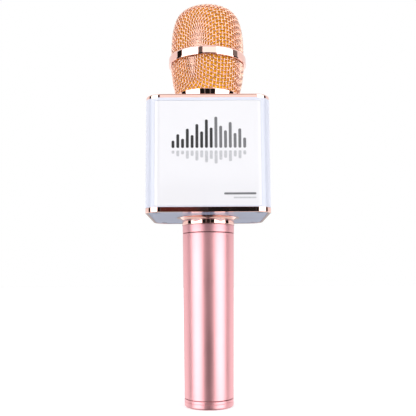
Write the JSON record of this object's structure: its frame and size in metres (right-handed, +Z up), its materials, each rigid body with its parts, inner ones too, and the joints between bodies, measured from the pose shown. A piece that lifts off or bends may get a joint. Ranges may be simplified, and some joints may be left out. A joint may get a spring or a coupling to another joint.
{
  "type": "karaoke microphone",
  "caption": "Wireless karaoke microphone with a screw-off woven wire head, a square loudspeaker box with a rear key panel, and a tapered tube handle holding the cell.",
  "frame": {"origin": "centre of the handle's flat lower end, on the microphone's axis", "axes": "+Z up the axis towards the wire head, -Y out of the plain front face, +Y out of the key panel, +X and -X out of the loudspeaker sides"},
  "size_m": [0.068, 0.0689, 0.2335],
  "materials": {
    "rose_wire_mesh": "bright woven wire",
    "rose_gold_chrome": "mirror bright rose gold plating",
    "pink_anodised": "satin anodised pink",
    "white_gloss": "gloss white",
    "grey_plastic": "fine satin grey",
    "key_white": "gloss white keys",
    "panel_rose": "satin rose gold",
    "grille_rose": "fine satin rose gold",
    "amber_foam": "open cell foam",
    "black_plastic": "moulded",
    "board_green": "solder mask",
    "zinc_steel": "zinc plated",
    "brass": "turned",
    "rubber_black": "soft",
    "cone_black": "pressed cone",
    "cell_wrap": "shrink wrap",
    "wire_sleeve": "soft sleeve",
    "switch_black": "moulded",
    "led_clear": "clear"
  },
  "bodies": {
    "box": {"audio_jack": "black_plastic", "battery_carrier": "black_plastic", "battery_cell": "cell_wrap", "battery_contacts": "brass", "board_standoffs": "brass", "bottom_cover": "grey_plastic", "bottom_trim": "rose_gold_chrome", "box_shell": "white_gloss", "capsule_cradle": "black_plastic", "capsule_mount": "rubber_black", "charge_board": "board_green", "chrome_ring": "rose_gold_chrome", "control_panel": "panel_rose", "cover_screws": "zinc_steel", "end_plug": "black_plastic", "end_ring": "pink_anodised", "front_panel": "white_gloss", "handle_core": "black_plastic", "handle_flare": "rose_gold_chrome", "handle_screws": "zinc_steel", "handle_tube": "pink_anodised", "key_board": "board_green", "key_board_screws": "zinc_steel", "left_grille": "grille_rose", "left_speaker_basket": "zinc_steel", "left_speaker_magnet": "zinc_steel", "left_speaker_surround": "rubber_black", "light_pipe": "led_clear", "main_board": "board_green", "mic_capsule": "zinc_steel", "mic_neck": "black_plastic", "right_grille": "grille_rose", "right_speaker_basket": "zinc_steel", "right_speaker_magnet": "zinc_steel", "right_speaker_surround": "rubber_black", "rocker_pins": "zinc_steel", "speaker_screws": "zinc_steel", "status_leds": "led_clear", "tact_switches": "switch_black", "top_cover": "white_gloss", "top_trim": "rose_gold_chrome", "upper_ring": "pink_anodised", "usb_socket": "zinc_steel", "wiring_harness": "wire_sleeve"},
    "head": {"upper_mesh": "rose_wire_mesh", "lower_mesh": "rose_wire_mesh", "head_band": "rose_gold_chrome", "head_collar": "rose_gold_chrome", "head_foam": "amber_foam"},
    "head_seal": {"head_seal": "rubber_black"},
    "left_cone": {"left_speaker_cone": "cone_black"},
    "right_cone": {"right_speaker_cone": "cone_black"},
    "power_button": {"power_button": "key_white"},
    "mode_button": {"mode_button": "key_white"},
    "play_button": {"play_button": "key_white"},
    "previous_button": {"previous_button": "key_white"},
    "next_button": {"next_button": "key_white"},
    "mic_volume_rocker": {"mic_volume_rocker": "key_white"},
    "echo_rocker": {"echo_rocker": "key_white"},
    "music_volume_rocker": {"music_volume_rocker": "key_white"}
  },
  "joints": [
    {"name": "head_lift", "type": "slide", "parent": "box", "child": "head_seal", "axis": [0, 0, 1], "range_m": [0, 0.006]},
    {"name": "head_turn", "type": "hinge", "parent": "head_seal", "child": "head", "pos_m": [0, 0, 0.178], "axis": [0, 0, 1], "range_deg": [0, 1440]},
    {"name": "power_press", "type": "slide", "parent": "box", "child": "power_button", "axis": [0, -1, 0], "range_m": [0, 0.00035], "stiffness_N_per_m": 800, "springref_m": -0.0005},
    {"name": "mode_press", "type": "slide", "parent": "box", "child": "mode_button", "axis": [0, -1, 0], "range_m": [0, 0.00035], "stiffness_N_per_m": 800, "springref_m": -0.0005},
    {"name": "play_press", "type": "slide", "parent": "box", "child": "play_button", "axis": [0, -1, 0], "range_m": [0, 0.00035], "stiffness_N_per_m": 800, "springref_m": -0.0005},
    {"name": "previous_press", "type": "slide", "parent": "box", "child": "previous_button", "axis": [0, -1, 0], "range_m": [0, 0.00035], "stiffness_N_per_m": 800, "springref_m": -0.0005},
    {"name": "next_press", "type": "slide", "parent": "box", "child": "next_button", "axis": [0, -1, 0], "range_m": [0, 0.00035], "stiffness_N_per_m": 800, "springref_m": -0.0005},
    {"name": "mic_volume_rock", "type": "hinge", "parent": "box", "child": "mic_volume_rocker", "pos_m": [0.0135, 0.0316, 0.1265], "axis": [1, 0, 0], "range_deg": [-3, 3]},
    {"name": "echo_rock", "type": "hinge", "parent": "box", "child": "echo_rocker", "pos_m": [0, 0.0316, 0.1265], "axis": [1, 0, 0], "range_deg": [-3, 3]},
    {"name": "music_volume_rock", "type": "hinge", "parent": "box", "child": "music_volume_rocker", "pos_m": [-0.0135, 0.0316, 0.1265], "axis": [1, 0, 0], "range_deg": [-3, 3]},
    {"name": "left_cone_stroke", "type": "slide", "parent": "box", "child": "left_cone", "axis": [-1, 0, 0], "range_m": [-0.0006, 0.0006]},
    {"name": "right_cone_stroke", "type": "slide", "parent": "box", "child": "right_cone", "axis": [1, 0, 0], "range_m": [-0.0006, 0.0006]}
  ],
  "couplings": [
    {"joint": "head_lift", "follows": "head_turn", "m_per_rad": 0.00023873}
  ]
}
